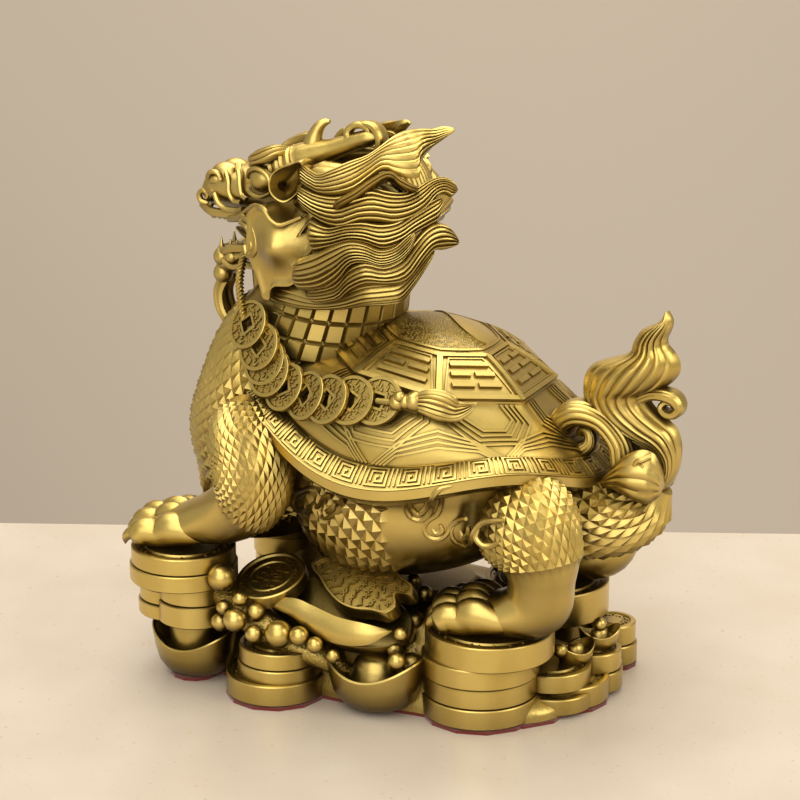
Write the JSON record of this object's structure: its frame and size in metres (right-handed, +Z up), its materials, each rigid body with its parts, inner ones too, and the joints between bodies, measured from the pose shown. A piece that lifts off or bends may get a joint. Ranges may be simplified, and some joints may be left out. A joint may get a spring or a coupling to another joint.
{
  "type": "dragon turtle figure",
  "caption": "Cast brass dragon-headed turtle with a trigram shell and flame tail, a string of cash coins in its mouth, standing on a bed of coins, ingots and pearls.",
  "frame": {"origin": "middle of the bounding box in plan, at the underside of the felt pad", "axes": "+Z up; -X is where the head looks, so the tail is at +X; -Y is the figure's left side, the side the picture shows; +Y is its right side"},
  "size_m": [0.2438, 0.1512, 0.2503],
  "materials": {
    "cast_brass": "satin cast brass, darker in the recesses",
    "red_felt": "thin pressed felt"
  },
  "bodies": {
    "root": {"dragon_turtle": "cast_brass", "treasure_bed": "cast_brass", "coin_string": "cast_brass", "felt_pad": "red_felt"}
  },
  "joints": []
}
